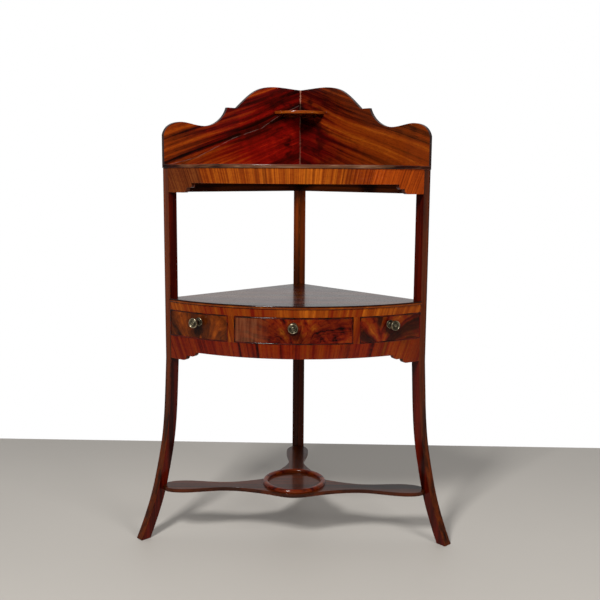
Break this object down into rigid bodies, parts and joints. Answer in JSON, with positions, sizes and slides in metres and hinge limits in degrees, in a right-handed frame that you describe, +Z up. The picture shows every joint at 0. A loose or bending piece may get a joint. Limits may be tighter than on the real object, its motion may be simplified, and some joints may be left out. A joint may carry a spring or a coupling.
{
  "type": "corner washstand",
  "caption": "Bow-fronted corner washstand: shaped splashback, pierced top, shelf with drawer, and a low stretcher with a jug ring.",
  "frame": {"origin": "on the floor, under the middle of the whole stand's box", "axes": "+Z up; the bowed front and its drawer face -Y, the room corner is towards +Y, +X is to the right from the front"},
  "size_m": [0.787, 0.4742, 1.139],
  "materials": {
    "mahogany": "french polished gloss",
    "splash_mahogany": "french polished gloss, slanting figure",
    "veneer": "cross-banded veneer, french polished gloss",
    "cock_bead": "dark polished bead",
    "oak_lining": "plain unpolished oak",
    "pine": "plain unpolished pine, aged",
    "brass": "aged dull brass",
    "steel": "dull iron"
  },
  "bodies": {
    "stand": {"back_leg": "mahogany", "bottom_cleats": "pine", "case_bottom": "pine", "case_glue_blocks": "pine", "case_side_left": "mahogany", "case_side_right": "mahogany", "corner_shelf": "mahogany", "corner_shelf_battens": "pine", "divider_left": "mahogany", "divider_right": "mahogany", "drawer_guide_left": "pine", "drawer_guide_right": "pine", "drawer_kicker_left": "pine", "drawer_kicker_right": "pine", "drawer_stops": "pine", "dummy_bead_left": "cock_bead", "dummy_bead_right": "cock_bead", "dummy_front_left": "pine", "dummy_front_right": "pine", "dummy_veneer_left": "veneer", "dummy_veneer_right": "veneer", "front_left_leg": "mahogany", "front_right_leg": "mahogany", "jug_ring": "mahogany", "left_knob": "brass", "left_knob_nut": "steel", "left_knob_plate": "brass", "lower_bracket_left": "mahogany", "lower_bracket_right": "mahogany", "lower_frieze_veneer": "veneer", "lower_front_rail": "pine", "right_knob": "brass", "right_knob_nut": "steel", "right_knob_plate": "brass", "shelf_board": "mahogany", "splashback_left": "splash_mahogany", "splashback_right": "splash_mahogany", "splashback_screws": "steel", "stretcher_back_arm": "mahogany", "stretcher_board": "mahogany", "top_back_rail_left": "mahogany", "top_back_rail_right": "mahogany", "top_board": "mahogany", "top_bracket_left": "mahogany", "top_bracket_right": "mahogany", "top_frieze_rail": "pine", "top_frieze_veneer": "veneer", "top_glue_blocks": "pine", "upper_front_rail": "pine", "upper_rail_veneer": "veneer"},
    "drawer": {"drawer_front": "pine", "drawer_front_veneer": "veneer", "drawer_bead": "cock_bead", "drawer_side_left": "oak_lining", "drawer_side_right": "oak_lining", "drawer_back": "oak_lining", "drawer_bottom": "oak_lining", "drawer_knob": "brass", "drawer_knob_plate": "brass", "drawer_knob_nut": "steel"}
  },
  "joints": [
    {"name": "drawer_slide", "type": "slide", "parent": "stand", "child": "drawer", "axis": [0, -1, 0], "range_m": [0, 0.18]}
  ]
}
